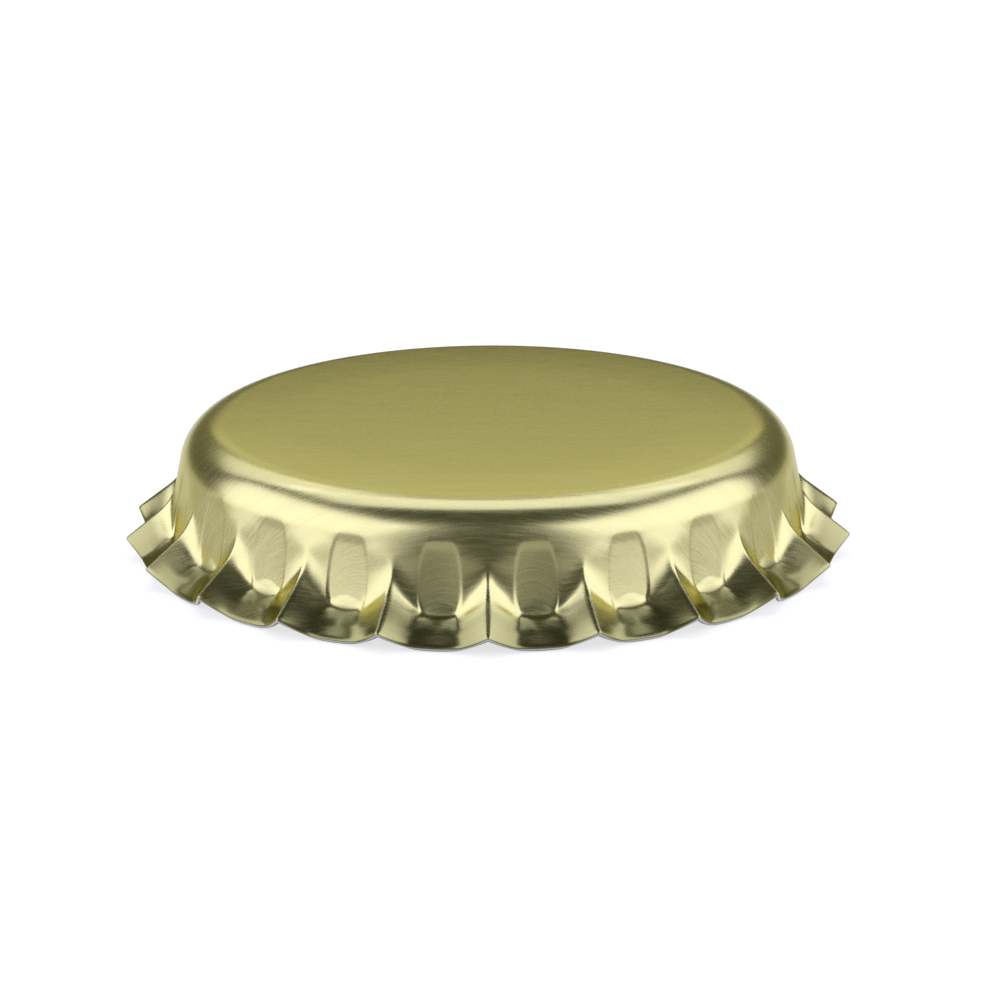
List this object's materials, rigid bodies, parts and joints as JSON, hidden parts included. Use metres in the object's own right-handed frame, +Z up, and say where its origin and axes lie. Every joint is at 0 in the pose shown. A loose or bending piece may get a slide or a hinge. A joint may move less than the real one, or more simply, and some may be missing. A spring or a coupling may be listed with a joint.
{
  "type": "bottle cap",
  "caption": "Round stamped metal cap for a glass bottle: flat top, rounded shoulder, flared fluted skirt and a moulded sealing liner inside.",
  "frame": {"origin": "on the cap's axis, at the level of the surface that its skirt stands on", "axes": "+Z up through the flat top, with one flute's ridge along -Y and a valley between flutes along +Y"},
  "size_m": [0.032, 0.0319, 0.006],
  "materials": {
    "lacquered_tinplate": "pale gold lacquer over brushed tinplate, bare steel at the cut edge",
    "liner_plastic": "soft off-white moulded sealing compound, satin"
  },
  "bodies": {
    "root": {"fluted_shell": "lacquered_tinplate", "sealing_liner": "liner_plastic"}
  },
  "joints": []
}
